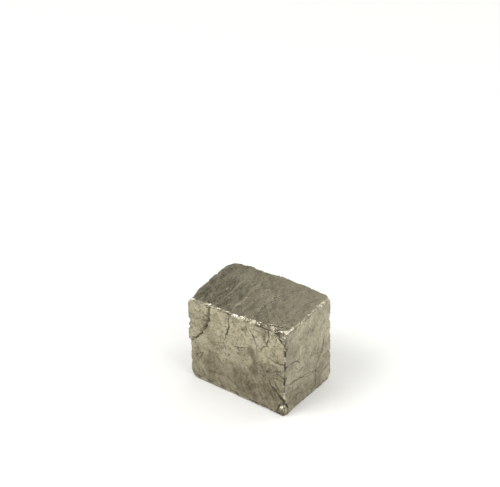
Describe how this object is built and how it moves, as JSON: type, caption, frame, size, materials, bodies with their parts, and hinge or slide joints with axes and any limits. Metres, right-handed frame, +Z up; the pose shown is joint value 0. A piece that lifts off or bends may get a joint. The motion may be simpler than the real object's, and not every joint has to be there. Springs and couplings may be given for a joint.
{
  "type": "pyrite crystal specimen",
  "caption": "Natural block-shaped pyrite crystal with a brassy metallic lustre, cracked faces and chipped edges, resting on its flat base as a display specimen.",
  "frame": {"origin": "centre of the bounding box's base, on the flat face the crystal rests on", "axes": "+X along the crystal's long edge, -Y out of its wide front face, +X also out of its narrow right face, +Z up"},
  "size_m": [0.0374, 0.0266, 0.0305],
  "materials": {
    "pyrite": "natural metallic lustre, slightly tarnished"
  },
  "bodies": {
    "root": {"pyrite_crystal": "pyrite"}
  },
  "joints": []
}
